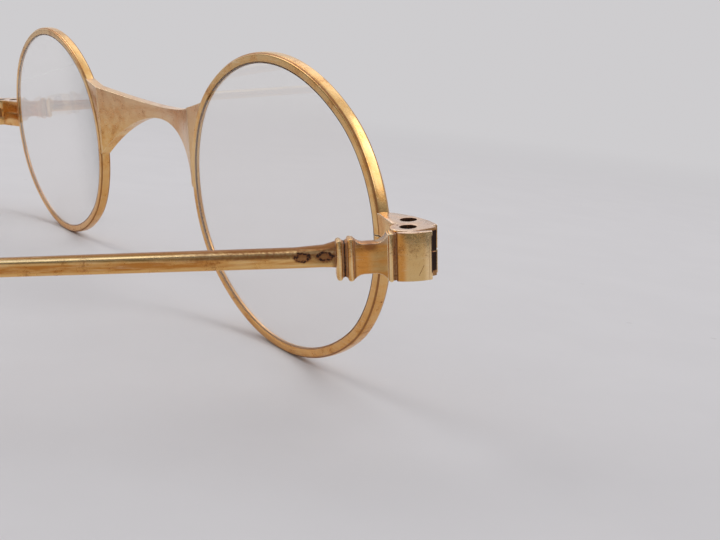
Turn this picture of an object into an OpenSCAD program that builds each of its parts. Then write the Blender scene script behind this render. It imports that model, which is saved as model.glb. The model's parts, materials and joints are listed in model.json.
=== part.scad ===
/* [Lenses] */
// Distance between the two lens centres
lens_span = 62; // [56:0.5:70]
// Width of a lens, edge to edge
lens_w = 33.6; // [31:0.2:38]
// Height of a lens, edge to edge
lens_h = 26.3; // [23:0.1:29]
// How much the radius of the oval's narrow ends is under half the lens height
end_drop = 1.75; // [1:0.05:3]
// Thickness of a lens at its centre
lens_t = 1.7; // [1.5:0.1:2.2]
// Radius of the lens's domed front face; its back face is flat
lens_curve = 200; // [170:10:220]
// Depth of the bevel around the lens edge
bevel_d = 0.35; // [0.32:0.01:0.4]
// Width of that bevel where it leaves the lens
bevel_w = 0.76; // [0.5:0.02:0.84]

/* [Rims] */
// Width of the rim wire, front to back
wire_w = 1.3; // [1.2:0.05:1.5]
// Thickness of the rim wire, from its inner flat outwards
wire_t = 1.05; // [0.95:0.05:1.2]
// Radius of the low domes on the wire's front, back and outer faces
wire_dome = 2; // [1.5:0.1:4]
// How far the wire's corners stand from its middle
wire_corner = 0.76; // [0.7:0.01:0.8]
// How deep the lens edge sits in the groove of the wire
lens_seat = 0.3; // [0.25:0.01:0.31]
// Play between the lens edge and its groove
lens_play = 0.02; // [0.02:0.005:0.05]

/* [Bridge] */
// Height of the bridge's lower edge above the lens centres
bridge_rise = 4.6; // [4:0.1:6]
// Height of the bridge bar at the middle of the nose
bridge_h = 1.4; // [1:0.1:2]
// Thickness of the bridge bar, front to back
bridge_t = 1.1; // [0.8:0.05:1.2]
// How far the bridge stands forward of the rims
bridge_bow = 2.5; // [1:0.1:4]
// Height beside the lens centres at which the bridge's feet end on the rims
foot_low = -0.9; // [-2:0.1:1]
// How much the bridge's upper edge climbs from its middle to the rims
foot_flare = 2.2; // [1:0.1:2.6]

/* [Closing blocks] */
// Distance from the rim's outer side to the hinge axis
block_len = 4.95; // [4.7:0.05:6]
// Height of a closing block
block_h = 3.7; // [3.4:0.1:4.2]
// Height of a block's middle above the lens centres
block_z = 0.6; // [-1:0.1:1.5]
// Distance of the hinge axis behind the lens plane
hinge_back = 1.4; // [1.2:0.1:1.8]
// Distance of the hinge axis behind the block's front face
block_front = 2.4; // [2.3:0.1:2.6]
// Radius of the block's bowed front face
front_r = 8; // [7:0.25:12]
// Distance from the hinge axis to the crown of that face, sideways
crown_in = 1.4; // [1:0.1:2]
// Reach of the block's rear corner behind the hinge axis
block_back = 0.3; // [0:0.02:0.34]
// Width of the lip in front of the arm's plate
lip_w = 0.22; // [0.1:0.02:0.3]
// Radius of the block's front outer corner
corner_r = 1.1; // [0.6:0.1:1.4]
// Gap between the two halves of a closing block
split_gap = 0.08; // [0.04:0.01:0.15]
// Distance from the hinge axis to the closing screw, sideways
closing_in = 1.85; // [1.8:0.05:2.1]
// Distance from the hinge axis to the closing screw, forwards
closing_fwd = 1.35; // [1.3:0.05:1.4]

/* [Hinges and screws] */
// Radius of the hinge knuckles
knuckle_r = 1.35; // [1.2:0.05:1.38]
// Height of the middle knuckle, which belongs to the arm
knuckle_h = 1.3; // [1:0.05:1.5]
// Gap above and below the middle knuckle
knuckle_gap = 0.03; // [0.02:0.01:0.06]
// Clearance of the arm's head around the barrel
barrel_gap = 0.05; // [0.04:0.01:0.08]
// Radius of a screw's shank
screw_r = 0.4; // [0.35:0.01:0.44]
// Clearance of a screw's shank in its bore
screw_gap = 0.02; // [0.01:0.005:0.04]
// Radius of a screw's head
head_r = 0.62; // [0.55:0.01:0.64]
// Height of a screw's head
head_h = 0.4; // [0.3:0.05:0.45]
// How far a screw's head is sunk below the top of its block
head_sink = 0.25; // [0.1:0.05:0.3]
// Width of a screw's driving slot
slot_w = 0.18; // [0.12:0.02:0.24]
// Depth of a screw's driving slot
slot_d = 0.15; // [0.1:0.05:0.2]

/* [Arm heads] */
// Reach of the head's cover plate in front of the hinge axis
plate_fwd = 1.55; // [1.45:0.05:1.6]
// Gap between the open arm's plate and the block that it stops on
stop_gap = 0.05; // [0.03:0.01:0.08]
// Thickness of the cover plate at its crown
plate_t = 0.45; // [0.4:0.05:0.6]
// How much the cover plate falls away at its two ends
crown_drop = 0.24; // [0.1:0.02:0.3]
// Distance from the hinge axis to the seam behind the cover plate
seam_back = 1.1; // [1:0.05:1.2]
// Thickness of the moulded shoulder
shoulder_t = 1.05; // [0.9:0.05:1.1]
// Width of the groove at the seam
seam_w = 0.22; // [0.15:0.01:0.3]
// Width of the bead behind the seam
bead_w = 0.4; // [0.3:0.02:0.5]
// Length of the hollowed neck behind the bead
neck_len = 2.5; // [2.4:0.1:3]
// Height of the neck at its narrowest
neck_h = 2.25; // [2:0.05:2.5]
// Length of the hollow curve that rises from the neck to the bead
bead_hollow = 0.95; // [0.8:0.05:1.3]
// Length of the hollow curve that rises from the neck to the collars
collar_hollow = 0.8; // [0.7:0.05:1.05]
// Height of the collar next to the neck
collar_h = 3.15; // [3:0.05:3.4]
// Height of the collar next to the arm
cuff_h = 2.95; // [2.8:0.05:3.2]
// Width of each collar along the arm
collar_w = 0.46; // [0.3:0.02:0.5]
// Width of the groove between the two collars
vee_w = 0.36; // [0.3:0.02:0.6]
// How far bead and collars stand out of the shoulder
bead_out = 0.2; // [0.1:0.02:0.3]

/* [Arms] */
// Length of an arm from the hinge axis to its end
arm_len = 94; // [85:0.5:95]
// Height of the arm inside the collars, from where it flares down
arm_h_root = 2.65; // [2.4:0.05:2.7]
// Height of the arm at the end of that flare
arm_h_flare = 1.9; // [1.7:0.05:1.95]
// Height of the arm just behind the flare
arm_h_neck = 1.5; // [1.4:0.05:1.7]
// Height of the arm a third of the way along
arm_h_mid = 1.3; // [1.2:0.05:1.4]
// Height of the arm where the end pad begins
arm_h_end = 1.1; // [1:0.05:1.2]
// Thickness of the arm at its root
arm_t_root = 0.95; // [0.8:0.05:1]
// Thickness of the arm at its end
arm_t_end = 0.8; // [0.6:0.05:0.9]
// How far the arm sits above the middle of its head
arm_rise = 0.1; // [0:0.02:0.2]
// How far an arm climbs above square to the front, in degrees
arm_lift = 1.5; // [0:0.1:2]
// How far both arms are folded in as the pair stands, in degrees
fold_rest = 27; // [10:1:28]
// Length of the flat drop-shaped pad at an arm's end
pad_len = 10; // [7:0.5:14]
// Radius of the pad's round end
pad_r = 2.4; // [1.8:0.1:2.6]
// Thickness of the pad at its round end
pad_t = 0.55; // [0.4:0.05:0.8]

/* [Hidden] */
$fn = 64;

RIGHT = -1;
LEFT = 1;
gold = "#b98f45";
steel = "#3c3834";
hair = 0.002;
eps = 0.01;
far = 4 * lens_h;

// The oval is four tangent arcs: two narrow ends and two long sides
end_r = lens_h / 2 - end_drop;
end_c = lens_w / 2 - end_r;
side_c = (end_c * end_c - end_drop * end_drop) / (2 * end_drop);
side_r = lens_h / 2 + side_c;
join_a = atan2(side_c, end_c);
join_x = end_c + end_r * cos(join_a);

wire_mid = wire_t / 2 - lens_seat;
rim_out = wire_t - lens_seat;
foot_x = (lens_span - lens_w) / 2 - rim_out;
foot_end = foot_x + lens_w / 10;

hinge_x = lens_span / 2 + lens_w / 2 + rim_out + block_len;
top_z = block_z + block_h / 2;
low_z = block_z - block_h / 2;
bore_r = screw_r + screw_gap;
sink_r = head_r + screw_gap;
head_top = top_z - head_sink;
head_low = head_top - head_h;

plate_in = knuckle_r + barrel_gap;
plate_out = plate_in + plate_t;
block_side = plate_in - stop_gap;
lip_front = -plate_fwd - stop_gap;
rim_rear = wire_w / 2 - 0.05 - hinge_back;
pocket_r = knuckle_r + 2 * barrel_gap;
plate_mid = (seam_back - plate_fwd) / 2;
plate_half = (seam_back + plate_fwd) / 2;

shoulder_out = plate_out - crown_drop;
shoulder_in = shoulder_out - shoulder_t;
bead_start = seam_back + seam_w;
bead_end = bead_start + bead_w;
neck_end = bead_end + neck_len;
vee_start = neck_end + collar_w;
cuff_start = vee_start + vee_w;
arm_start = cuff_start + collar_w;
bead_h = block_h - 0.1;
notch = 0.06;
seam_h = bead_h - 2 * notch;
vee_h = cuff_h - 2.5 * bead_out;

arm_o = shoulder_out - shoulder_t / 2;
pad_start = arm_len - pad_len;
pad_c = arm_len - pad_r;
stations = [arm_start - 0.5, arm_start + 0.9, arm_start + 3, arm_len / 3, pad_start];
arm_high = [arm_h_root, arm_h_flare, arm_h_neck, arm_h_mid, arm_h_end] / 2;
arm_thin = [for (t = stations)
    (arm_t_root + (arm_t_end - arm_t_root) * (t - arm_start) / (pad_start - arm_start)) / 2];

// Radius of an arc from its half chord and its rise
function arc_r(half, rise) = (half * half + rise * rise) / (2 * rise);

// The pair stands on the rims' lowest points and on the two end pads, so it leans back
pad_y = hinge_back + (arm_start + (pad_c - arm_start) * cos(arm_lift)) * cos(fold_rest)
      + arm_o * sin(fold_rest);
pad_z = block_z + arm_rise + (pad_c - arm_start) * sin(arm_lift);
rim_drop = lens_h / 2 + rim_out - wire_dome;
pad_side = (pad_t + (arm_t_end - pad_t) * pad_r / pad_len) / 2 * sin(fold_rest);
function pad_reach(a) = pad_r * norm([cos(a), cos(fold_rest) * sin(a)]) + pad_side * sin(a);
function lean_from(a) = atan2(pad_z + rim_drop, pad_y)
    - asin((pad_reach(a) - wire_dome) / norm([pad_z + rim_drop, pad_y]));
lean = lean_from(lean_from(lean_from(10)));
stand_z = rim_drop * cos(lean) + wire_dome;
front_y = -(lens_h / 2 + wire_mid) * sin(lean) - wire_w / 2 * cos(lean) - 0.02;
back_y = pad_y * cos(lean) + pad_z * sin(lean) + pad_side * cos(lean)
       + pad_r * norm([cos(fold_rest) * cos(lean), sin(lean)]);
stand_y = -(front_y + back_y) / 2;

// Sets the upright pair down on its rims and pads
module standing() {
    translate([0, stand_y, stand_z]) rotate([-lean, 0, 0]) children();
}

// Mirrors what is drawn for the wearer's left side to the asked side
module on_side(side) {
    mirror([side < 0 ? 1 : 0, 0, 0]) children();
}

// Lens axes: the oval is drawn flat and then stood upright
module at_lens(side) {
    standing() on_side(side) translate([lens_span / 2, 0, 0]) rotate([90, 0, 0]) children();
}

// Hinge axes: X outwards, Y backwards, with the axis itself as Z
module at_hinge(side) {
    standing() on_side(side) translate([hinge_x, hinge_back, 0]) children();
}

// Arm axes: as at the hinge, turned in by the fold, Z from the block's middle
module at_arm(side) {
    at_hinge(side) translate([0, 0, block_z]) rotate([0, 0, fold_rest]) children();
}

// The wire's section; X = 0 runs along the lens edge, and a loss makes it a hair smaller
module wire_section(loss) {
    translate([wire_mid, 0]) intersection() {
        circle(wire_corner - loss);
        translate([wire_t / 2 - wire_dome, 0]) circle(wire_dome - loss);
        intersection_for (s = [-1, 1])
            translate([0, s * (wire_w / 2 - wire_dome)]) circle(wire_dome - loss);
        translate([loss - wire_t / 2, -wire_w]) square(2 * wire_w);
    }
}

module groove_section(loss) {
    reach = lens_seat + lens_play + loss;
    half_w = bevel_w / 2 * reach / bevel_d + lens_play + loss;
    polygon([[-lens_seat - wire_t, -3 * half_w], [-lens_seat, -half_w], [lens_play + loss, 0],
        [-lens_seat, half_w], [-lens_seat - wire_t, 3 * half_w]]);
}

// Each end arc is a hair thinner than the side arcs and runs a little way into them
module around_oval(solid) {
    into = 0.6;
    for (turn = [0, 180]) rotate([0, 0, turn]) {
        translate([end_c, 0, 0]) rotate([0, 0, -join_a - into])
            rotate_extrude(angle = 2 * (join_a + into)) translate([end_r, 0]) oval_section(solid, hair);
        translate([0, -side_c, 0]) rotate([0, 0, join_a])
            rotate_extrude(angle = 180 - 2 * join_a) translate([side_r, 0]) oval_section(solid, 0);
    }
}

module oval_section(solid, loss) {
    difference() {
        wire_section(loss);
        if (!solid) groove_section(loss);
    }
}

module rim(side) {
    color(gold) difference() {
        at_lens(side) around_oval(false);
        standing() on_side(side) translate([lens_span / 2 + lens_w / 4, -wire_w, block_z - split_gap / 2])
            cube([lens_w, 2 * wire_w, split_gap]);
    }
}

// A round lens blank with its bevelled edge
module blank(r) {
    rotate_extrude() polygon([
        [0, -lens_t], [r - bevel_d, -lens_t], [r - bevel_d, -bevel_w / 2], [r, 0],
        [r - bevel_d, bevel_w / 2], [r - bevel_d, lens_t], [0, lens_t]
    ]);
}

// The lens: an oval of four arcs, flat behind and ground to a large radius in front
module lens(side) {
    color("#d8e2de", 0.4) at_lens(side) intersection() {
        union() {
            for (s = [-1, 1]) translate([s * end_c, 0, 0]) blank(end_r - hair);
            intersection() {
                translate([0, side_c, 0]) blank(side_r);
                translate([0, -side_c, 0]) blank(side_r);
                cube([2 * join_x, lens_h, 3 * lens_t], center = true);
            }
        }
        rotate_extrude() intersection() {
            translate([0, lens_t / 2 - lens_curve]) circle(lens_curve, $fn = 256);
            translate([0, -lens_t / 2]) square([lens_w, lens_t]);
        }
    }
}

// What the lens and the middle of its rim fill, for cutting other pieces to the rim
module inside_rim(side) {
    at_lens(side) {
        around_oval(true);
        linear_extrude(8 * wire_w, center = true) {
            for (s = [-1, 1]) translate([s * end_c, 0]) circle(end_r);
            intersection() {
                translate([0, side_c]) circle(side_r);
                translate([0, -side_c]) circle(side_r);
                square([2 * join_x, lens_h], center = true);
            }
        }
    }
}

// The bridge seen from the front: a bar between two arcs that flares onto both rims
module bridge_front() {
    low_r = arc_r(foot_x, bridge_rise - foot_low);
    high_r = arc_r(foot_end, foot_flare);
    difference() {
        translate([-foot_end, foot_low]) square([2 * foot_end, lens_h]);
        translate([0, bridge_rise - low_r]) circle(low_r, $fn = 256);
        translate([0, bridge_rise + bridge_h + high_r]) circle(high_r, $fn = 256);
    }
}

// The bridge seen from above: a bar bowed forward between two straight feet
module bridge_plan() {
    bow_r = arc_r(foot_x, bridge_bow);
    intersection() {
        translate([0, bow_r - bridge_bow]) difference() {
            circle(bow_r + bridge_t / 2, $fn = 256);
            circle(bow_r - bridge_t / 2, $fn = 256);
        }
        translate([-foot_x, -far]) square([2 * foot_x, 1.5 * far]);
    }
    for (s = [-1, 1]) translate([s * foot_end, 0])
        square([2 * (foot_end - foot_x) + bridge_t / 2, bridge_t], center = true);
}

module bridge() {
    color(gold) difference() {
        standing() intersection() {
            rotate([90, 0, 0]) linear_extrude(2 * lens_w, center = true) bridge_front();
            translate([0, 0, -lens_h]) linear_extrude(2 * lens_h) bridge_plan();
        }
        inside_rim(RIGHT);
        inside_rim(LEFT);
    }
}

// Closing block from above, with the lip that ends flush with the arm's plate
module block_plan() {
    lip_x = block_side + lip_w;
    intersection() {
        translate([-crown_in, front_r - block_front]) circle(front_r);
        union() {
            translate([-block_len - rim_out, lip_front]) mirror([0, 1]) square([lip_x + block_len, 2 * front_r]);
            polygon([
                [-block_len - rim_out, lip_front - eps], [block_side, lip_front - eps], [block_side, 0],
                [-knuckle_r, 0], [-knuckle_r - block_back, block_back],
                [-block_len, rim_rear], [-block_len - rim_out, rim_rear]
            ]);
        }
        translate([lip_x - 4 * corner_r, lip_front + corner_r / 4]) circle(4 * corner_r);
    }
    circle(knuckle_r);
}

module screw_cut(x, y) {
    translate([x, y, low_z - eps]) cylinder(r = bore_r, h = block_h);
    translate([x, y, head_low]) cylinder(r = sink_r, h = block_h);
}

module block(side, from, to) {
    color(gold) difference() {
        at_hinge(side) difference() {
            translate([0, 0, from]) linear_extrude(to - from) block_plan();
            translate([0, 0, block_z - knuckle_h / 2 - knuckle_gap])
                cylinder(r = pocket_r, h = knuckle_h + 2 * knuckle_gap);
            screw_cut(0, 0);
            screw_cut(-closing_in, -closing_fwd);
        }
        at_lens(side) around_oval(true);
    }
}

module upper_joint(side) block(side, block_z + split_gap / 2, top_z);
module lower_joint(side) block(side, low_z, block_z - split_gap / 2);

module screw(side, x, y, turn) {
    color(steel) at_hinge(side) translate([x, y, 0]) difference() {
        union() {
            translate([0, 0, low_z]) cylinder(r = screw_r, h = head_low - low_z + eps);
            translate([0, 0, head_low]) cylinder(r = head_r, h = head_h);
        }
        translate([0, 0, head_top]) rotate([0, 0, turn]) cube([3 * head_r, slot_w, 2 * slot_d], center = true);
    }
}

module closing_screw(side) screw(side, -closing_in, -closing_fwd, 35);
module hinge_screw(side) screw(side, 0, 0, -20);

// Cover plate, middle knuckle and the web between them
module temple_joint(side) {
    crown_r = arc_r(plate_half, crown_drop);
    color(gold) at_arm(side) difference() {
        union() {
            translate([0, 0, -block_h / 2]) linear_extrude(block_h) intersection() {
                translate([plate_in, -plate_fwd]) square([plate_t, 2 * plate_half]);
                translate([plate_out - crown_r, plate_mid]) circle(crown_r);
            }
            translate([0, 0, -knuckle_h / 2]) linear_extrude(knuckle_h) {
                circle(knuckle_r);
                translate([shoulder_in, -0.35 * knuckle_r])
                    square([plate_in - shoulder_in + eps, seam_back + 0.35 * knuckle_r]);
            }
        }
        translate([0, 0, -block_h]) cylinder(r = bore_r, h = 2 * block_h);
    }
}

// A bar with round ends, w wide and h long, standing on its middle
module rounded_bar(start, w, h) {
    translate([start, -h / 2 + w / 2]) square([w, h - w]);
    for (s = [-1, 1]) translate([start + w / 2, s * (h - w) / 2]) circle(w / 2);
}

// The shoulder from its outer side: groove, bead, hollowed neck and two collars
module shoulder_side() {
    translate([seam_back, -seam_h / 2]) square([seam_w + bead_w / 2, seam_h]);
    rounded_bar(bead_start, bead_w, bead_h);
    bead_rise = (bead_h - neck_h) / 2 - notch;
    collar_rise = (collar_h - neck_h) / 2 - notch;
    difference() {
        translate([bead_end - bead_w / 2, -bead_h / 2 + notch]) square([neck_len + bead_w, bead_h - 2 * notch]);
        for (s = [-1, 1]) scale([1, s]) {
            for (c = [[bead_end + bead_hollow, arc_r(bead_hollow, bead_rise)],
                      [neck_end - collar_hollow, arc_r(collar_hollow, collar_rise)]])
                translate([c[0], neck_h / 2 + c[1]]) circle(c[1]);
            translate([bead_end + bead_hollow, neck_h / 2])
                square([neck_len - bead_hollow - collar_hollow, block_h]);
            translate([neck_end - collar_hollow / 4, collar_h / 2 - notch]) square([collar_w, block_h]);
        }
    }
    rounded_bar(neck_end, collar_w, collar_h);
    rounded_bar(cuff_start, collar_w, cuff_h);
    vee = [[neck_end + collar_w / 2, collar_h / 2 - notch], [vee_start + vee_w / 2, vee_h / 2],
           [cuff_start + collar_w / 2, cuff_h / 2 - notch]];
    polygon([for (s = [-1, 1]) for (i = [0 : 2]) [vee[s < 0 ? i : 2 - i][0], s * vee[s < 0 ? i : 2 - i][1]]]);
}

// The shoulder from above, with the same bead and collars on its outer face
module shoulder_plan() {
    translate([shoulder_in, seam_back]) square([shoulder_t, arm_start - seam_back]);
    for (b = [[bead_start, bead_w], [neck_end, collar_w], [cuff_start, collar_w]])
        translate([shoulder_out + bead_out - b[1] / 2, b[0] + b[1] / 2]) circle(b[1] / 2);
}

module shoulder(side) {
    color(gold) at_arm(side) difference() {
        intersection() {
            rotate([90, 0, 90]) linear_extrude(2 * plate_out) shoulder_side();
            translate([0, 0, -block_h]) linear_extrude(2 * block_h) shoulder_plan();
        }
        translate([0, 0, -block_h]) cylinder(r = plate_in, h = 2 * block_h);
    }
}

// Puts a piece on the arm's own line, which climbs a little from its root
module on_arm(side) {
    at_arm(side) translate([arm_o, arm_start, arm_rise]) rotate([arm_lift, 0, 0])
        translate([0, -arm_start, 0]) children();
}

// A bar along Y whose half width at each station is given
module taper(halves) {
    n = len(stations);
    rotate([90, 0, 90]) linear_extrude(4 * arm_h_root, center = true) polygon(concat(
        [for (i = [0 : n - 1]) [stations[i], halves[i]]],
        [for (i = [n - 1 : -1 : 0]) [stations[i], -halves[i]]]
    ));
}

module arm(side) {
    color(gold) at_arm(side) intersection() {
        translate([arm_o, arm_start, arm_rise]) rotate([arm_lift, 0, 0]) translate([0, -arm_start, 0])
            intersection() {
                taper(arm_high);
                rotate([0, 90, 0]) taper(arm_thin);
            }
        translate([-far / 2, arm_start, -far / 2]) cube(far);
    }
}

// The end pad: a flat drop that thins towards its round end
module pad(side) {
    to_c = [pad_c - pad_start, arm_h_end / 2];
    tangent = 180 - atan2(to_c[1], to_c[0]) - acos(pad_r / norm(to_c));
    corner = [pad_c + pad_r * cos(tangent), pad_r * sin(tangent)];
    color(gold) on_arm(side) intersection() {
        rotate([90, 0, 90]) linear_extrude(2 * arm_t_end, center = true) {
            translate([pad_c, 0]) circle(pad_r);
            polygon([[pad_start, -arm_h_end / 2], [corner[0], -corner[1]], [pad_c, 0],
                corner, [pad_start, arm_h_end / 2]]);
        }
        translate([0, 0, -far / 2]) linear_extrude(far) polygon([
            [-arm_t_end / 2, pad_start], [-pad_t / 2, arm_len], [pad_t / 2, arm_len], [arm_t_end / 2, pad_start]
        ]);
    }
}

rim(RIGHT);  // right_rim
rim(LEFT);  // left_rim
lens(RIGHT);  // right_lens
lens(LEFT);  // left_lens
bridge();
upper_joint(RIGHT);  // right_upper_joint
lower_joint(RIGHT);  // right_lower_joint
upper_joint(LEFT);  // left_upper_joint
lower_joint(LEFT);  // left_lower_joint
closing_screw(RIGHT);  // right_closing_screw
closing_screw(LEFT);  // left_closing_screw
hinge_screw(RIGHT);  // right_hinge_screw
hinge_screw(LEFT);  // left_hinge_screw
temple_joint(RIGHT);  // right_temple_joint
temple_joint(LEFT);  // left_temple_joint
shoulder(RIGHT);  // right_shoulder
shoulder(LEFT);  // left_shoulder
arm(RIGHT);  // right_arm
arm(LEFT);  // left_arm
pad(RIGHT);  // right_pad
pad(LEFT);  // left_pad
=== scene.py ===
import bpy, bmesh, json, math
from mathutils import Matrix, Vector

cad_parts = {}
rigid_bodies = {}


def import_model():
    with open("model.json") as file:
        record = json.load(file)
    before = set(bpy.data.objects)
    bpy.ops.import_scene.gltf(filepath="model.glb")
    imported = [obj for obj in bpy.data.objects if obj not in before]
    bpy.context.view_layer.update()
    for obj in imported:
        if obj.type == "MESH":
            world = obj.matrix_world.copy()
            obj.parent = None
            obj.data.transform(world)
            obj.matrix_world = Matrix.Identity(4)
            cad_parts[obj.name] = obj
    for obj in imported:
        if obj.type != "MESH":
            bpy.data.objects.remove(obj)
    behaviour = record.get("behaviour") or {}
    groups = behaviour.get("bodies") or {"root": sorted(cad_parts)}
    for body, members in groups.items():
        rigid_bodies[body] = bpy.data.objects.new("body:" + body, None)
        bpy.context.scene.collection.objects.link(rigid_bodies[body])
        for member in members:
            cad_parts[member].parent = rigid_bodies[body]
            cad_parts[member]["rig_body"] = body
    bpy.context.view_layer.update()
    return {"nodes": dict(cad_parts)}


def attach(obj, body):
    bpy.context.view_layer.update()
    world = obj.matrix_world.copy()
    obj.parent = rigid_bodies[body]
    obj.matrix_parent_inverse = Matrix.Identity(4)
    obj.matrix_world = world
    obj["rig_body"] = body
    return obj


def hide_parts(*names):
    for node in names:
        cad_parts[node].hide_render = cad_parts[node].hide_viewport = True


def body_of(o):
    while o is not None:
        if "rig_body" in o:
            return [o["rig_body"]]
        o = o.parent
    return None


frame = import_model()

# The pair set down on its table, and the camera
# The spectacles lean back on their two rims and the ends of their temples. The camera looks
# along the near temple from behind and above, close to the table.
MM = 0.001
LEAN = math.radians(9.80755)
STAND_Y, STAND_Z = -41.0548, 13.7261
EYE_PLACE = (-118.012, 46.831, 21.687)
EYE_TURN, EYE_DIP, EYE_ROLL = (math.radians(a) for a in (237.4853, 15.8886, -1.816))
EYE_FOCAL, EYE_SENSOR = 55.0, 36.0


def stood(x, y, z):
    """A point of the upright front, in mm, where it is with the pair set down, in metres."""
    return (stood_way(x, y, z) + Vector((0, STAND_Y, STAND_Z))) * MM


def stood_way(x, y, z):
    """A direction of the upright front, with the pair set down."""
    return Vector((x, y * math.cos(LEAN) + z * math.sin(LEAN),
                   -y * math.sin(LEAN) + z * math.cos(LEAN)))


eye = bpy.data.cameras.new("photograph_eye")
eye.sensor_width, eye.lens, eye.clip_start = EYE_SENSOR, EYE_FOCAL, 2 * MM
camera = bpy.data.objects.new("photograph_eye", eye)
bpy.context.scene.collection.objects.link(camera)
look = Vector((-math.sin(EYE_TURN) * math.cos(EYE_DIP), math.cos(EYE_TURN) * math.cos(EYE_DIP),
               -math.sin(EYE_DIP)))
sideways = look.cross(Vector((0, 0, 1))).normalized()
upright = sideways.cross(look)
right = sideways * math.cos(EYE_ROLL) + upright * math.sin(EYE_ROLL)
over = upright * math.cos(EYE_ROLL) - sideways * math.sin(EYE_ROLL)
facing = Matrix([stood_way(*right), stood_way(*over), -stood_way(*look)]).transposed().to_4x4()
camera.matrix_world = Matrix.Translation(stood(*EYE_PLACE)) @ facing
bpy.context.scene.camera = camera


# Rims and bridge
# Each rim is one length of gilt wire with rounded faces, bent to an oval and slit at its outer
# end. The bridge is a bar over the nose, brazed to both rims by flared feet. Cloth and fingers
# have worn the gilding unevenly, and the rims and the bridge also carry painted shading and
# sheen that change with height above the table.

class Graph:
    """The nodes of a material or of a shape."""

    def __init__(self, tree):
        self.nodes, self.links = tree.nodes, tree.links

    def node(self, kind, settings, inputs, output=0):
        """A new node's output, or with None all of them. The settings are set first, then each
        input gets its value or its link."""
        made = self.nodes.new(kind)
        for key, value in settings.items():
            setattr(made, key, value)
        for key, value in inputs.items():
            value = value.socket if isinstance(value, Tone) else value
            if isinstance(value, bpy.types.NodeSocket):
                self.links.new(value, made.inputs[key])
            else:
                made.inputs[key].default_value = value
        return made.outputs if output is None else made.outputs[output]


class Tone:
    """A number that varies over a surface: Python's operators add Math nodes."""

    def __init__(self, graph, socket):
        self.graph, self.socket = graph, socket

    def math(self, operation, *others):
        return Tone(self.graph, self.graph.node("ShaderNodeMath", {"operation": operation},
                                                dict(enumerate((self, *others)))))

    def __add__(self, other):
        return self.math("ADD", other)

    def __radd__(self, other):
        return self.math("ADD", other)

    def __sub__(self, other):
        return self.math("SUBTRACT", other)

    def __rsub__(self, other):
        return (self * -1) + other

    def __mul__(self, other):
        return self.math("MULTIPLY", other)

    def __rmul__(self, other):
        return self.math("MULTIPLY", other)

    def __truediv__(self, other):
        return self.math("DIVIDE", other)

    def __pow__(self, other):
        return self.math("POWER", other)

    def __abs__(self):
        return self.math("ABSOLUTE")

    def least(self, other):
        return self.math("MINIMUM", other)

    def most(self, other):
        return self.math("MAXIMUM", other)

    def step(self, low, high):
        """0 below low and 1 above high, with a soft rise between them; high may be below low."""
        return Tone(self.graph, self.graph.node(
            "ShaderNodeMapRange", {"interpolation_type": "SMOOTHSTEP"},
            {"Value": self, "From Min": low, "From Max": high}))

    def near(self, middle, reach):
        """1 at middle, fading to 0 at reach on both sides."""
        return abs(self - middle).step(reach, 0)

    def between(self, low, high, soft):
        """1 from low to high, with soft edges."""
        return self.step(low - soft, low + soft) * self.step(high + soft, high - soft)


class Finish(Graph):
    """One material and its nodes."""

    def __init__(self, name, **constants):
        self.material = bpy.data.materials.new(name)
        self.material.use_nodes = True
        super().__init__(self.material.node_tree)
        self.shader, self.output = self.nodes["Principled BSDF"], self.nodes["Material Output"]
        for key, value in constants.items():
            self.shader.inputs[key.replace("_", " ")].default_value = value
        self.place = self.node("ShaderNodeTexCoord", {}, {}, "Object")

    def axis(self, way, start=(0, 0, 0)):
        """How far the surface lies along a direction from a point, in mm."""
        moved = self.node("ShaderNodeVectorMath", {"operation": "SUBTRACT"}, {0: self.place, 1: start})
        along = self.node("ShaderNodeVectorMath", {"operation": "DOT_PRODUCT"},
                          {0: moved, 1: [c / MM for c in way]}, "Value")
        return Tone(self, along)

    def spread(self, stretch, turned):
        """Object coordinates, drawn out along the turned axes."""
        return self.node("ShaderNodeMapping", {"vector_type": "TEXTURE"},
                         {"Vector": self.place, "Scale": stretch, "Rotation": turned})

    def cloud(self, size, detail, stretch=(1, 1, 1), turned=(0, 0, 0)):
        """Soft noise from 0 to 1, whose blots are about size mm across."""
        return Tone(self, self.node("ShaderNodeTexNoise", {}, {
            "Vector": self.spread(stretch, turned), "Scale": 1 / (size * MM), "Detail": detail,
            "Roughness": 0.6}))

    def pits(self, size):
        """Distance to scattered points, for pits and specks."""
        return Tone(self, self.node("ShaderNodeTexVoronoi", {}, {
            "Vector": self.place, "Scale": 1 / (size * MM)}))

    def worn(self, reach):
        """1 along sharp edges, over reach mm."""
        rounded = self.node("ShaderNodeBevel", {"samples": 4}, {"Radius": reach * MM})
        plain = self.node("ShaderNodeNewGeometry", {}, {}, "Normal")
        return 1 - Tone(self, self.node("ShaderNodeVectorMath", {"operation": "DOT_PRODUCT"},
                                        {0: rounded, 1: plain}, "Value"))

    def nook(self, reach):
        """1 deep in corners and grooves, over reach mm."""
        open_sky = self.node("ShaderNodeAmbientOcclusion", {"samples": 5, "only_local": True},
                             {"Distance": reach * MM}, "AO")
        return 1 - Tone(self, open_sky)

    def blend(self, amount, first, second):
        """Colour first where amount is 0, and second where it is 1."""
        first, second = ((*c, 1) if isinstance(c, tuple) else c for c in (first, second))
        return self.node("ShaderNodeMix", {"data_type": "RGBA"}, {0: amount, 6: first, 7: second}, 2)

    def set(self, socket, value):
        """Links a value to one of the shader's inputs."""
        value = value.socket if isinstance(value, Tone) else value
        self.links.new(value, self.shader.inputs[socket])

    def relief(self, height, depth):
        """Bumps the surface by a height that runs from 0 to 1, with depth in mm."""
        self.set("Normal", self.node("ShaderNodeBump", {}, {
            "Strength": 1.0, "Distance": depth * MM, "Height": height}))


# Colours of the gilding. PALE is also a painted highlight along sharp edges, the pinkish one is a painted
# sheen on upper faces, and the two darkest serve both for tarnish and for painted shade.
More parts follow.
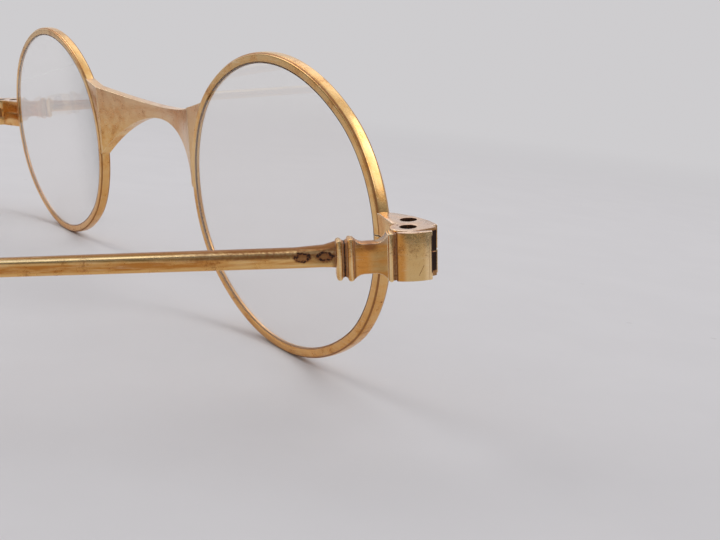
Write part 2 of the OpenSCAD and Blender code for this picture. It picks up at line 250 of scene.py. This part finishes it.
GOLD, WARM, PALE = (0.86, 0.55, 0.23), (0.80, 0.42, 0.13), (1.0, 0.88, 0.64)
ORANGE, OLIVE, PAINTED_TOP_SHEEN = (0.74, 0.34, 0.08), (0.34, 0.21, 0.08), (0.54, 0.38, 0.30)
TARNISH_AND_SHADE, SOOT_AND_DEEP_SHADE = (0.25, 0.08, 0.024), (0.018, 0.011, 0.009)
RELIEF = 0.012


def gilt(name, turned=(0, 0, 0), tints=(), dirt_and_shade=None, dents=None, swell=None):
    """Worn gilding. Each tint is a mask made from the finish and a colour. The dirt mask darkens
    with tarnish and with painted shade, and the dents mask makes shallow hollows. swell says how
    far a slightly domed face falls away, in parts of the relief's depth."""
    finish = Finish(name, Specular_IOR_Level=0.2)
    blots, fine = finish.cloud(1.7, 3), finish.cloud(0.16, 4)
    drawn = finish.cloud(0.2, 3, (14, 1, 1), turned)
    colour = finish.blend(blots.step(0.38, 0.66), GOLD, WARM)
    for mask, tint in tints:
        colour = finish.blend((mask(finish) * (0.75 + fine * 0.5)).least(1.0), colour, tint)
    colour = finish.blend(drawn.step(0.5, 0.85) * 0.26, colour, PALE)
    # Sharp edges turn pale: rubbed gilding, and a painted highlight along them.
    rubbed = finish.worn(0.12).step(0.015, 0.16) * (0.45 + blots)
    colour = finish.blend(rubbed.least(1.0), colour, PALE)
    # Ambient occlusion darkens corners and grooves: tarnish in the hollows, and painted shade.
    corner_dirt_and_shade = finish.nook(0.45).step(0.25, 0.85) * (0.4 + fine)
    stains = (fine * 0.5 + blots * 0.7).step(0.64, 0.80) * 0.45
    specks = finish.pits(1.1).step(0.13, 0.07) * blots.step(0.5, 0.62)
    # This dark mask joins tarnish, stains and specks with painted shade from the corners and from the dirt
    # mask.
    grime_and_shade = (corner_dirt_and_shade.most(stains).most(specks) - rubbed * 0.5).most(0.0)
    if dirt_and_shade:
        grime_and_shade = grime_and_shade.most(dirt_and_shade(finish) * (0.7 + fine * 0.6))
    grime_and_shade = grime_and_shade.least(1.0)
    colour = finish.blend(grime_and_shade, colour, TARNISH_AND_SHADE)
    finish.set("Base Color", finish.blend(grime_and_shade.step(0.84, 0.99) * 0.93, colour, SOOT_AND_DEEP_SHADE))
    finish.set("Metallic", 1 - grime_and_shade * 0.7)
    finish.set("Roughness", 0.13 + drawn * 0.12 + fine * 0.1 + grime_and_shade * 0.3)
    height = fine * 0.25 + drawn * 0.3 - grime_and_shade * 0.3
    if dents:
        height = height - dents(finish) * 4
    if swell:
        height = height - swell(finish)
    finish.relief(height, RELIEF)
    return finish.material


def replace(copy, node):
    """Puts a finished piece in the place of its CAD node."""
    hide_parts(node)
    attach(copy, body_of(frame["nodes"][node])[0])


def dressed(node, finish, soft=0.06, sides=3, lengthwise=None, ends=0.05, bent=None):
    """The CAD node's own shape, its edges rubbed round by soft mm. With lengthwise, the edges
    that don't run along that direction are rubbed by ends mm instead. bent moves each corner."""
    copy = bpy.data.objects.new(node + "_worn", frame["nodes"][node].data.copy())
    bpy.context.scene.collection.objects.link(copy)
    mesh = bmesh.new()
    mesh.from_mesh(copy.data)
    bmesh.ops.remove_doubles(mesh, verts=mesh.verts, dist=2e-7)
    bmesh.ops.dissolve_limit(mesh, angle_limit=math.radians(0.6), verts=mesh.verts, edges=mesh.edges)
    for corner in mesh.verts if bent else ():
        corner.co = bent(corner.co)
    weight = mesh.edges.layers.float.new("bevel_weight_edge")
    for edge in mesh.edges:
        sharp = edge.calc_face_angle(0) > math.radians(28)
        run = (edge.verts[1].co - edge.verts[0].co).normalized()
        ahead = lengthwise is None or abs(run.dot(lengthwise)) > 0.9
        edge[weight] = (1.0 if ahead else ends / soft) if sharp else 0.0
    mesh.to_mesh(copy.data)
    mesh.free()
    copy.data.materials.clear()
    copy.data.materials.append(finish)
    copy.data.shade_smooth()
    bevel = copy.modifiers.new("rubbed", "BEVEL")
    bevel.width, bevel.segments, bevel.limit_method = soft * MM, sides, "WEIGHT"
    bevel.harden_normals = True
    bpy.context.view_layer.update()
    replace(copy, node)


# The oval is two tight arcs at its ends and two wide ones above and below, smoothly joined
LENS_SPAN, LENS_W, LENS_H, END_R = 62.0, 33.6, 26.3, 11.4
END_C = LENS_W / 2 - END_R
SIDE_C = (END_C ** 2 - (LENS_H / 2 - END_R) ** 2) / (LENS_H - 2 * END_R)
SIDE_R = LENS_H / 2 + SIDE_C
JOIN = math.degrees(math.atan2(SIDE_C, END_C))
WIRE_MID, WIRE_T, WIRE_W, SLIT, BLOCK_Z = 0.225, 1.0, 1.28, 0.08, 0.6
# The wire's section: how near it comes to a square, and how deep the line is along its corners
SQUARENESS, CORNER_LINE = 3.6, 0.05
SIDES = (("right", -1), ("left", 1))


def oval(turn, grow):
    """The point of the lens's oval, grown by grow mm, whose edge faces the angle turn."""
    turn %= 360
    if turn <= JOIN or turn >= 360 - JOIN:
        centre, radius = (END_C, 0), END_R
    elif turn < 180 - JOIN:
        centre, radius = (0, -SIDE_C), SIDE_R
    elif turn <= 180 + JOIN:
        centre, radius = (-END_C, 0), END_R
    else:
        centre, radius = (0, SIDE_C), SIDE_R
    a = math.radians(turn)
    return centre[0] + (radius + grow) * math.cos(a), centre[1] + (radius + grow) * math.sin(a)


def lens_axes(sign):
    """Where a lens drawn flat, facing up, stands in its rim."""
    way = Matrix([stood_way(1, 0, 0), stood_way(0, 0, 1), stood_way(0, -1, 0)]).transposed().to_4x4()
    return Matrix.Translation(stood(sign * LENS_SPAN / 2, 0, 0)) @ way


drawn_wire = bpy.data.node_groups.new("drawn_wire", "GeometryNodeTree")
for name, kind in (("Path", "Geometry"), ("Thickness", "Float"), ("Width", "Float"),
                   ("Squareness", "Float"), ("Corner line", "Float"), ("Gilding", "Material")):
    drawn_wire.interface.new_socket(name, in_out="INPUT", socket_type="NodeSocket" + kind)
drawn_wire.interface.new_socket("Wire", in_out="OUTPUT", socket_type="NodeSocketGeometry")
wire = Graph(drawn_wire)
given = wire.node("NodeGroupInput", {}, {}, None)
circle = wire.node("GeometryNodeCurvePrimitiveCircle", {}, {"Resolution": 72, "Radius": 1.0})
spot = wire.node("GeometryNodeInputPosition", {}, {})
marked = wire.node("GeometryNodeStoreNamedAttribute", {"data_type": "FLOAT_VECTOR", "domain": "POINT"},
                   {"Geometry": circle, "Name": "round_wire", "Value": spot})
parts = wire.node("ShaderNodeSeparateXYZ", {}, {0: spot}, None)
outward, ahead = Tone(wire, parts["X"]), Tone(wire, parts["Y"])
square = Tone(wire, given["Squareness"])
reach = (abs(outward) ** square + abs(ahead) ** square) ** ((square ** -1) * -1)
at_corner = (abs(outward * ahead) * 2).step(0.955, 0.995)
reach = reach * (1 - Tone(wire, given["Corner line"]) * at_corner)
section = wire.node("GeometryNodeSetPosition", {}, {"Geometry": marked, "Position": wire.node(
    "ShaderNodeCombineXYZ", {}, {"X": outward * reach * Tone(wire, given["Thickness"]) * 0.5,
                                 "Y": ahead * reach * Tone(wire, given["Width"]) * 0.5})})
swept = wire.node("GeometryNodeCurveToMesh", {}, {"Curve": given["Path"], "Profile Curve": section,
                                                  "Fill Caps": True})
smooth = wire.node("GeometryNodeSetShadeSmooth", {}, {0: swept})
whole = wire.node("GeometryNodeRealizeInstances", {}, {0: smooth})
gilded = wire.node("GeometryNodeSetMaterial", {}, {"Geometry": whole, "Material": given["Gilding"]})
wire.node("NodeGroupOutput", {}, {0: gilded}, None)


def wire_corners(f):
    """1 in the fine line along the corners of the wire."""
    spun = f.node("ShaderNodeAttribute", {"attribute_name": "round_wire"}, {}, "Vector")
    halves = f.node("ShaderNodeSeparateXYZ", {}, {0: spun}, None)
    return (abs(Tone(f, halves["X"]) * Tone(f, halves["Y"])) * 2).step(0.93, 0.99)


def over_table(f):
    """How high above the table."""
    return f.axis((0, 0, 1))


# The rim's colour by height is painted shading: oranger low down, darker olive high up. A fine dark line
# runs along the wire's corners.
rim_gold = gilt("rim_gilding", dirt_and_shade=lambda f: wire_corners(f) * 0.75, tints=(
    (lambda f: over_table(f).step(16, 6) * 0.55, ORANGE),
    (lambda f: over_table(f).step(19, 25) * 0.4, OLIVE)))
RIM_STEPS = 300
slit_at = math.degrees(math.asin(BLOCK_Z / (END_R + WIRE_MID)))
slit_half = math.degrees(SLIT / 2 / END_R)
turns = [slit_at + slit_half + (360 - 2 * slit_half) * i / RIM_STEPS for i in range(RIM_STEPS + 1)]
for side, sign in SIDES:
    line = bpy.data.curves.new(side + "_rim_line", "CURVE")
    line.dimensions, line.twist_mode = "3D", "Z_UP"
    spline = line.splines.new("POLY")
    spline.points.add(len(turns) - 1)
    for point, turn_at in zip(spline.points, turns):
        x, y = oval(turn_at if sign > 0 else 180 - turn_at, WIRE_MID)
        point.co = (x * MM, y * MM, 0, 1)
    path = bpy.data.objects.new(side + "_rim_line", line)
    bpy.context.scene.collection.objects.link(path)
    maker = path.modifiers.new("wire", "NODES")
    maker.node_group = drawn_wire
    sizes = {"Thickness": WIRE_T * MM, "Width": WIRE_W * MM, "Squareness": SQUARENESS,
             "Corner line": CORNER_LINE, "Gilding": rim_gold}
    for socket in drawn_wire.interface.items_tree:
        if socket.in_out == "INPUT" and socket.name in sizes:
            maker[socket.identifier] = sizes[socket.name]
    bpy.context.view_layer.update()
    made = bpy.data.meshes.new_from_object(path.evaluated_get(bpy.context.evaluated_depsgraph_get()))
    made.transform(lens_axes(sign))
    bpy.data.objects.remove(path)
    rim = bpy.data.objects.new(side + "_rim_wire", made)
    bpy.context.scene.collection.objects.link(rim)
    skin = bmesh.new()
    skin.from_mesh(made)
    bmesh.ops.recalc_face_normals(skin, faces=skin.faces)
    skin.to_mesh(made)
    skin.free()
    bpy.context.view_layer.update()
    replace(rim, side + "_rim")

# The bridge's upper part has a painted pale sheen.
bridge_gold = gilt("bridge_gilding", tints=((lambda f: over_table(f).step(14, 21) * 0.5, PAINTED_TOP_SHEEN),))
dressed("bridge", bridge_gold, 0.3, sides=4)

# Lenses
# Two oval lenses of clear spectacle glass, flat behind and slightly domed in front, ground
# with a bevel that sits in the groove of the rim. A hundred years have left them faintly grey.
LENS_T, LENS_CURVE, BEVEL_D, BEVEL_W, BEVEL_FRONT = 1.2, 600.0, 0.15, 0.5, 0.15
CLEAR, GLASS_SHADE = (0.975, 0.965, 0.955, 1), (0.93, 0.92, 0.91, 1)
glass = Finish("lens_glass", Base_Color=CLEAR, Roughness=0.0, IOR=1.5, Transmission_Weight=1.0)
bare = glass.node("ShaderNodeBsdfTransparent", {}, {"Color": GLASS_SHADE})
rays = glass.node("ShaderNodeLightPath", {}, {}, "Is Shadow Ray")
glass.links.new(glass.node("ShaderNodeMixShader", {}, {0: rays, 1: glass.shader.outputs[0], 2: bare}),
                glass.output.inputs["Surface"])
SPOKES = 120
SHARES = [0.12 * i for i in range(1, 8)] + [0.93, 1.0]


def ring(form, share, grow, height=None):
    """One ring of corners round the lens, at a share of its oval. Without a height it lies on
    the domed front."""
    made = []
    for i in range(SPOKES):
        x, y = oval(360 * i / SPOKES, grow)
        x, y = x * share, y * share
        dome = LENS_T / 2 - LENS_CURVE + math.sqrt(LENS_CURVE ** 2 - x * x - y * y)
        z = dome if height is None else height
        made.append(form.verts.new((x * MM, y * MM, z * MM)))
    return made


for side, sign in SIDES:
    form = bmesh.new()
    rings = [ring(form, share, -BEVEL_D) for share in SHARES]
    rings += [ring(form, 1, -BEVEL_D, BEVEL_FRONT), ring(form, 1, 0, 0),
              ring(form, 1, -BEVEL_D, -BEVEL_W / 2)]
    rings += [ring(form, share, -BEVEL_D, -LENS_T / 2) for share in reversed(SHARES)]
    for low, top in zip(rings, rings[1:]):
        for i in range(SPOKES):
            form.faces.new((low[i], top[i], top[(i + 1) % SPOKES], low[(i + 1) % SPOKES]))
    for height, around in ((LENS_T / 2, rings[0]), (-LENS_T / 2, rings[-1])):
        centre = form.verts.new((0, 0, height * MM))
        for i in range(SPOKES):
            form.faces.new((centre, around[i], around[(i + 1) % SPOKES]))
    bmesh.ops.recalc_face_normals(form, faces=form.faces)
    for face in form.faces:
        face.smooth = True
    for crease in form.edges:
        crease.smooth = crease.calc_face_angle(0) < math.radians(20)
    form.transform(lens_axes(sign))
    blank = bpy.data.meshes.new(side + "_lens_glass")
    form.to_mesh(blank)
    form.free()
    blank.materials.append(glass.material)
    lens = bpy.data.objects.new(side + "_lens_glass", blank)
    bpy.context.scene.collection.objects.link(lens)
    bpy.context.view_layer.update()
    replace(lens, side + "_lens")

# Closing blocks and their screws
# A split block is brazed to each rim's slit end. Its halves are drawn together on the lens by
# a short screw, and they carry the outer knuckles of the hinge, whose screw is the pivot.
HINGE_X, HINGE_BACK = 53.5, 1.4
CLOSING_FWD, CLOSING_IN = 1.35, 1.85
STEEL, RUST = (0.016, 0.013, 0.012), (0.04, 0.018, 0.012)
for side, sign in SIDES:
    out, back, high = stood_way(sign, 0, 0), stood_way(0, 1, 0), stood_way(0, 0, 1)
    pivot = stood(sign * HINGE_X, HINGE_BACK, BLOCK_Z)

    def shade_behind_plate(f):
        """Painted shade on the block's outer face, in the gap under the temple's cover plate."""
        z = f.axis(high, pivot)
        side_face = f.axis(out, pivot).step(1.22, 1.32)
        return side_face * (1.5 - z.step(1.45, 1.75)) * (1 - z.step(-1.1, -1.6) * 0.55)

    def shaded_sinks(f):
        """Painted shade in the sunk holes of the two screws: 1 inside, fading out 0.63 to 0.70 mm from
        their axes.
        """
        sunk = None
        for fwd, inward in ((0, 0), (CLOSING_FWD, CLOSING_IN)):
            o, t = f.axis(out, pivot) + inward, f.axis(back, pivot) + fwd
            mask = (o * o + t * t).step(0.49, 0.40)
            sunk = mask if sunk is None else sunk.most(mask)
        return sunk

    # The block's outer face and screw holes are darkened with painted shade, and its top has a painted
    # pale sheen.
    block_gold = gilt(side + "_block_gilding", dirt_and_shade=lambda f: shade_behind_plate(f).most(shaded_sinks(f)), tints=(
        (lambda f: f.axis(high, pivot).step(1.72, 1.84) * 0.8, PAINTED_TOP_SHEEN),
        (lambda f: f.axis(out, pivot).step(-3.0, -4.8) * f.axis(high, pivot).step(1.9, 1.5) * 0.7,
         ORANGE)))
    for block in ("_upper_joint", "_lower_joint"):
        dressed(side + block, block_gold, 0.08)
iron = Finish("screw_steel", Metallic=0.7)
rusted = iron.cloud(0.3, 4)
iron.set("Base Color", iron.blend(rusted.step(0.45, 0.7), STEEL, RUST))
iron.set("Roughness", 0.42 + rusted * 0.25)
iron.relief(rusted, 0.02)
for screw in ("_closing_screw", "_hinge_screw"):
    for side, _ in SIDES:
        dressed(side + screw, iron.material, 0.04)

# Temples: heads, shoulders, arms and end pads
# Each temple is one forged and filed strip of the same gilt metal. Its head is a small cover
# plate with the middle knuckle behind it, then come a bead, a hollowed neck and two turned
# collars, and a thin tapering arm that ends in a flat drop-shaped pad above the ear.
FOLD, LIFT = math.radians(27), math.radians(1.5)
ARM_START, ARM_RISE = 5.5, 0.1
# Along the arm in mm: half its height, and how far its upper and lower edges really stand off
# its line, because the old strip is faintly bowed and flares upwards at its root
ARM_EDGES = ((5.5, 1.191, 1.25, 0.70), (6.4, 0.95, 0.99, 0.66), (8.5, 0.75, 0.84, 0.68),
             (31.333, 0.65, 0.77, 0.40), (84.0, 0.55, 0.55, 0.55))
# Stations of the mouldings, in mm behind the pivot
SEAM, BEAD, NECK_RIM, VEE = (1.0, 1.34), (1.36, 1.62), 4.16, (4.66, 5.06)
CRESTS = ((1.60, 0.09), (4.40, 0.11), (5.26, 0.11))
# Two plain worn dimples: where along the arm, how high, and half their length and height
DIMPLES = ((7.95, 0.2, 0.70, 0.46), (6.3, 0.22, 0.78, 0.44))
# Colours of the temples. The plate's bands and the shine on the bead, the crests and the arm's edge are
# painted highlights and reflection. The neck's copper and shade are painted shading. The arm's brown upper
# half, gold lower half and brown top edge are a painted reflection, dark above and table-bright below.
PLATE_FACE_REFLECTION, PLATE_EDGE_HIGHLIGHT, COPPER = (0.76, 0.52, 0.23), (1.0, 0.74, 0.40), (0.74, 0.31, 0.06)
NECK_SHADE, NECK_STREAK = (0.44, 0.24, 0.07), (0.5, 0.2, 0.045)
BEAD_SHINE, CREST_SHINE = (1.0, 0.72, 0.36), (1.0, 0.78, 0.45)
UPPER_DARK_REFLECTION, LOWER_TABLE_REFLECTION, MIDDLE_RED = (0.26, 0.16, 0.055), (0.86, 0.52, 0.18), (0.56, 0.23, 0.05)
EDGE_SHINE, EDGE_DARK_REFLECTION = (0.86, 0.66, 0.36), (0.30, 0.15, 0.05)
for side, sign in SIDES:
    out = stood_way(sign * math.cos(FOLD), math.sin(FOLD), 0)
    back = stood_way(-sign * math.sin(FOLD), math.cos(FOLD), 0)
    high = stood_way(0, 0, 1)
    pivot = stood(sign * HINGE_X, HINGE_BACK, BLOCK_Z)
    lifted = back * math.cos(LIFT) + high * math.sin(LIFT)
    above = high * math.cos(LIFT) - back * math.sin(LIFT)
    root = pivot + (back * ARM_START + high * ARM_RISE) * MM
    turned = Matrix([lifted, above.cross(lifted), above]).transposed().to_euler()

    def bowed(corner):
        """A corner of the arm, moved to where the bowed edge has it."""
        t, z = (corner - root).dot(lifted) / MM + ARM_START, (corner - root).dot(above) / MM
        for here, further in zip(ARM_EDGES, ARM_EDGES[1:]):
            near, half, top, low = here
            far, half_far, top_far, low_far = further
            if t <= far or far == ARM_EDGES[-1][0]:
                share = min(max((t - near) / (far - near), 0), 1)
                half += (half_far - half) * share
                wanted = top + (top_far - top) * share if z > 0 else low + (low_far - low) * share
                return corner + above * (z * wanted / half - z) * MM

    def behind(f):
        """How far behind the pivot."""
        return f.axis(back, pivot)

    def level(f):
        """How high above the middle of the block."""
        return f.axis(high, pivot)

    def along(f):
        """How far along the arm from its root."""
        return f.axis(lifted, root)

    def raised(f):
        """How high above the arm's own line."""
        return f.axis(above, root)

    def smear(f):
        """Streaks drawn out along the arm."""
        return f.cloud(0.4, 3, (9, 1, 1), turned).step(0.4, 0.62)

    def domed_face(f):
        """The outer face falls away above and below its middle."""
        z = level(f)
        return z * z * 1.6

    def plate_dirt_and_shade(f):
        """The seam and one scratch, with painted shade in a fine line near the front edge and on the dark
        front edge.
        """
        t, z = behind(f), level(f)
        scratch = (t + 0.88 + (z + 0.65) * 0.49).near(0, 0.04) * z.between(-1.42, -0.65, 0.05)
        # Painted shade along the front edge.
        front = t.step(-1.43, -1.50) * z.between(-1.3, 1.5, 0.15) * 1.5
        marks = (t.between(*SEAM, 0.06) * 0.84).most(t.near(-1.30, 0.05) * 0.4)
        return marks.most(scratch * 0.9).most(front)

    def moulding_dirt(f):
        """The grooves, and a dark patch high on the neck."""
        t = behind(f)
        dark_patch = t.near(3.05, 0.75) * level(f).near(0.92, 0.45) * (0.6 + f.cloud(0.5, 4))
        vee = t.between(*VEE, 0.08) * 0.8 + t.near(4.88, 0.1) * 0.25
        lines = (t.between(*SEAM, 0.06) * 0.84).most(vee).most(t.near(NECK_RIM, 0.16) * 0.75)
        return lines.most(dark_patch.least(0.68))

    def crests(f):
        """The crests of the bead and the collars, rubbed bright and given a painted highlight."""
        rubbed = None
        for at, reach in CRESTS:
            crest = behind(f).near(at, reach)
            rubbed = crest if rubbed is None else rubbed.most(crest)
        return rubbed * 0.6

    def dimple(f, inner, outer):
        """1 inside the dimples' inner share, fading to 0 at the outer, with a ragged rim."""
        t, z, o = along(f) + ARM_START, raised(f), f.axis(out, pivot)
        found = None
        for at, level_at, long, tall in DIMPLES:
            away = (((t - at) / long) ** 2 + ((z - level_at) / tall) ** 2) ** 0.5
            away = away + (f.cloud(0.4, 3) - 0.5) * 0.9
            mask = away.step(outer, inner)
            found = mask if found is None else found.most(mask)
        return found * o.step(1.25, 1.4)

    def arm_dirt_and_shade(f):
        """The dimples' ragged rims and the root, with painted dark reflection along the thin upper edge
        and over the upper half near the root.
        """
        bowl = dimple(f, 0.78, 1.12) - dimple(f, 0.15, 0.65) * 0.35
        ragged = bowl * (0.58 + f.cloud(0.22, 4) * 0.75)
        at_root = behind(f).step(5.95, 5.5) * 0.75
        dark_reflection_high = along(f).step(16, 6) * raised(f).step(0.0, 0.3)
        dark_reflection_high = dark_reflection_high * f.cloud(0.22, 4).step(0.2, 0.75) * 0.8
        return ragged.most(at_root).most(raised(f).step(0.74, 0.80) * 0.5).most(dark_reflection_high)

    def above_reflection_split(f):
        """How far above the line that parts the painted dark reflection on the upper half from the painted
        bright reflection on the lower one.
        """
        return raised(f) - along(f) * 0.013

    # The plate's orange, honey and straw bands are painted reflection and highlight across its slightly
    # domed face, and its top has a painted pale sheen.
    plate = gilt(side + "_plate_gilding", turned, dirt_and_shade=plate_dirt_and_shade, swell=domed_face, tints=(
        (lambda f: behind(f).step(0.3, 0.75), ORANGE),
        (lambda f: behind(f).between(-1.0, 0.35, 0.25) * 0.75, PLATE_FACE_REFLECTION),
        (lambda f: behind(f).step(-0.8, -1.2) * 0.85, PLATE_EDGE_HIGHLIGHT),
        (lambda f: level(f).step(1.72, 1.84) * 0.9, PAINTED_TOP_SHEEN)))
    # On the shoulder, the copper and the shade along the hollowed neck are painted shading, the bead and
    # the crests have painted highlights, and the neck's top has a painted pale sheen. The streaks are the
    # gilding's own.
    moulding = gilt(side + "_shoulder_gilding", turned, dirt_and_shade=moulding_dirt, swell=domed_face, tints=(
        (lambda f: behind(f).between(2.9, 4.2, 0.5) * 0.9, COPPER),
        (lambda f: behind(f).between(1.6, 2.9, 0.5) * 0.7, NECK_SHADE),
        (lambda f: behind(f).between(1.6, 3.2, 0.3) * smear(f) * 0.6, ORANGE),
        (lambda f: behind(f).between(*BEAD, 0.05) * 0.6, BEAD_SHINE),
        (lambda f: behind(f).between(1.75, 4.1, 0.1) * smear(f) * 0.45, NECK_STREAK),
        (crests, CREST_SHINE),
        (lambda f: level(f).step(0.9, 1.3) * behind(f).between(1.6, 4.2, 0.2) * 0.5, PAINTED_TOP_SHEEN)))
    # The arm's brown upper half and gold lower half are a painted reflection. The bright line below its
    # top edge is a painted highlight, and the brown top edge is a painted dark reflection.
    strip = gilt(side + "_arm_gilding", turned, dirt_and_shade=arm_dirt_and_shade, dents=lambda f: dimple(f, 0.5, 1.1), tints=(
        (lambda f: above_reflection_split(f).step(0.0, 0.2) * (0.75 + smear(f) * 0.4), UPPER_DARK_REFLECTION),
        (lambda f: above_reflection_split(f).step(0.06, -0.10) * 0.55, LOWER_TABLE_REFLECTION),
        (lambda f: raised(f).between(-0.35, 0.22, 0.12) * (smear(f) * 0.7 + along(f).step(5, 14) * 0.5),
         MIDDLE_RED),
        (lambda f: along(f).step(3.0, 0.6) * raised(f).step(-0.6, -0.1) * 0.8, OLIVE),
        (lambda f: raised(f).between(0.46, 0.66, 0.08) * (0.5 + along(f).step(4, 20) * 0.4), EDGE_SHINE),
        (lambda f: raised(f).step(0.64, 0.72) * (0.6 + along(f).step(4, 14) * 0.4), EDGE_DARK_REFLECTION),
        (lambda f: raised(f).step(-0.40, -0.52) * 0.5, WARM)))
    dressed(side + "_temple_joint", plate, 0.09)
    dressed(side + "_shoulder", moulding, 0.04)
    dressed(side + "_arm", strip, 0.5, sides=9, lengthwise=lifted, ends=0.02, bent=bowed)
    dressed(side + "_pad", gilt(side + "_pad_gilding", turned), 0.14)

# Table, backdrop and light
# A wide plain pale table that runs back out of sight, under soft light from above and from
# both sides. The room is dimmer near the horizon, which darkens the sides of the metal.
TABLE_R, TABLE_CORNERS = 3.0, 72
PALE_ROOM, PAPER_DARK, PAPER_LIGHT = (0.618, 0.608, 0.622), (0.65, 0.64, 0.655), (0.662, 0.652, 0.667)
FLECK = (0.3, 0.28, 0.28)
sheet = bpy.data.meshes.new("pale_sheet")
bearings = [math.radians(360 * i / TABLE_CORNERS) for i in range(TABLE_CORNERS)]
sheet.from_pydata([(TABLE_R * math.cos(a), TABLE_R * math.sin(a), 0) for a in bearings],
                  [], [range(TABLE_CORNERS)])
table = bpy.data.objects.new("pale_table", sheet)
bpy.context.scene.collection.objects.link(table)
paper = Finish("pale_paper", Roughness=0.8, Specular_IOR_Level=0.0)
mottle = paper.cloud(14, 3)
specks = paper.pits(9).step(0.055, 0.03) * paper.cloud(30, 2).step(0.5, 0.6)
tone = paper.blend(mottle.step(0.35, 0.7), PAPER_DARK, PAPER_LIGHT)
paper.set("Base Color", paper.blend(specks * 0.18, tone, FLECK))
away = Tone(paper, paper.node("ShaderNodeVectorMath", {"operation": "LENGTH"}, {0: paper.place},
                              "Value"))


def straight(graph):
    """1 for what is seen directly or through the lenses."""
    rays = graph.node("ShaderNodeLightPath", {}, {}, None)
    return Tone(graph, rays["Is Camera Ray"]).most(Tone(graph, rays["Is Transmission Ray"]))


distance = paper.node("ShaderNodeEmission", {}, {"Color": (*PALE_ROOM, 1), "Strength": 1.0})
paper.links.new(paper.node("ShaderNodeMixShader", {}, {
    0: away.step(0.13, 0.5) * straight(paper), 1: paper.shader.outputs[0], 2: distance}),
    paper.output.inputs["Surface"])
sheet.materials.append(paper.material)


def soft_light(name, size, power, place, aim):
    """A round lamp, size metres across, that shines from place at aim."""
    lamp = bpy.data.lights.new(name, "AREA")
    lamp.shape, lamp.size, lamp.energy = "DISK", size, power
    holder = bpy.data.objects.new(name, lamp)
    bpy.context.scene.collection.objects.link(holder)
    holder.location = place
    holder.rotation_euler = (Vector(aim) - Vector(place)).to_track_quat("-Z", "Y").to_euler()


beyond = stood_way(*look)
beyond = Vector((beyond.x, beyond.y, 0)).normalized()
beside = beyond.cross(Vector((0, 0, 1)))
middle = Vector((-0.03, -0.03, 0))
left_place = middle - beside * 0.30 + beyond * 0.14 + Vector((0, 0, 0.30))
right_place = middle + beside * 0.24 + beyond * 0.08 + Vector((0, 0, 0.34))
far_place = middle + beyond * 0.65 + Vector((0, 0, 0.7))
soft_light("left_window", 0.24, 0.40, left_place, middle)
soft_light("right_window", 0.24, 0.28, right_place, middle)
soft_light("far_light", 0.6, 0.75, far_place, middle + beyond * 0.45)
world = bpy.data.worlds.new("room")
bpy.context.scene.world = world
world.use_nodes = True
room = Graph(world.node_tree)
seen = room.node("ShaderNodeTexCoord", {}, {}, "Generated")


def toward(way):
    """1 where the room is seen straight along way, and 0 square to it."""
    return Tone(room, room.node("ShaderNodeVectorMath", {"operation": "DOT_PRODUCT"},
                                {0: seen, 1: way}, "Value"))


height = toward((0, 0, 1))
glow = 0.14 + height.step(0.15, 0.45) * 0.45 - height.step(0.62, 0.75) * 0.2
glow = glow + height.step(0.8, 0.95) * 0.4
glow = glow.most(toward(beyond).step(0.0, 0.75) * 0.85)
direct = straight(room)
mirrored = Tone(room, room.node("ShaderNodeLightPath", {}, {}, "Is Glossy Ray"))
# What only mirroring surfaces show: light overhead, and windows, each by its bearing, height
# and width in degrees and its strength
WINDOWS = ((170, 42, 24, 1.7), (102, 46, 28, 1.2), (-60, 45, 18, 0.8))
windows = height.step(0.70, 0.90) * 0.25
ROOM_TINT = (1.0, 0.985, 1.0, 1)
for bearing, up, width, strength in WINDOWS:
    around, up = math.radians(bearing), math.radians(up)
    level_way = beyond * math.cos(around) + beside * math.sin(around)
    way = level_way * math.cos(up) + Vector((0, 0, math.sin(up)))
    outer, inner = math.cos(math.radians(width)), math.cos(math.radians(width / 2))
    windows = windows + toward(way).step(outer, inner) * strength
glow = glow + mirrored * windows
room.links.new((glow * (1 - direct) + direct).socket, room.nodes["Background"].inputs["Strength"])
room.links.new(room.node("ShaderNodeMix", {"data_type": "RGBA"}, {
    0: direct, 6: ROOM_TINT, 7: (*PALE_ROOM, 1)}, 2), room.nodes["Background"].inputs["Color"])
bpy.context.scene.view_settings.view_transform = "Standard"
